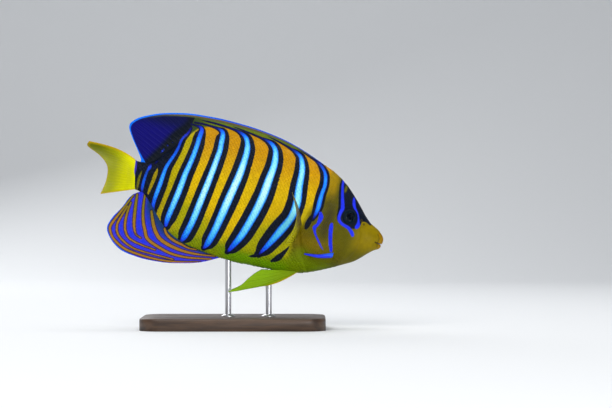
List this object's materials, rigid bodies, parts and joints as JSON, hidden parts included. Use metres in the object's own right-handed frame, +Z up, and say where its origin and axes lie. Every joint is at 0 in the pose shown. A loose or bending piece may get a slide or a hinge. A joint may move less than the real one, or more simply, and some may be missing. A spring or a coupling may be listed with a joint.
{
  "type": "regal angelfish",
  "caption": "Life-size regal angelfish with a banded body and spread fins, swimming nose down, held over a flat base by short upright rods.",
  "frame": {"origin": "centre of the model's box at the underside of the base", "axes": "+Z up, +X the way the fish swims, +Y its left"},
  "size_m": [0.1956, 0.1004, 0.141],
  "materials": {
    "skin_body": "satin scaled skin with blue and white bands",
    "skin_head": "satin scaled skin, olive orange with blue lines",
    "eye": "polished, dark",
    "dark_fin": "satin, navy and purple with an orange brown edge",
    "blue_fin": "satin, bright blue with orange lines",
    "yellow_fin": "satin, yellow",
    "clear_fin": "clear yellowish web with darker rays",
    "base_wood": "dark stained, satin",
    "rod_steel": "brushed"
  },
  "bodies": {
    "root": {"head": "skin_head", "trunk": "skin_body", "tail_stalk": "skin_body", "eye_right": "eye", "eye_left": "eye", "dorsal_fin": "dark_fin", "anal_fin": "blue_fin", "caudal_fin": "yellow_fin", "pectoral_fin_right": "clear_fin", "pectoral_fin_left": "clear_fin", "pelvic_fin_right": "yellow_fin", "pelvic_fin_left": "yellow_fin", "stand_base": "base_wood", "stand_rod_front": "rod_steel", "stand_rod_rear": "rod_steel"}
  },
  "joints": []
}
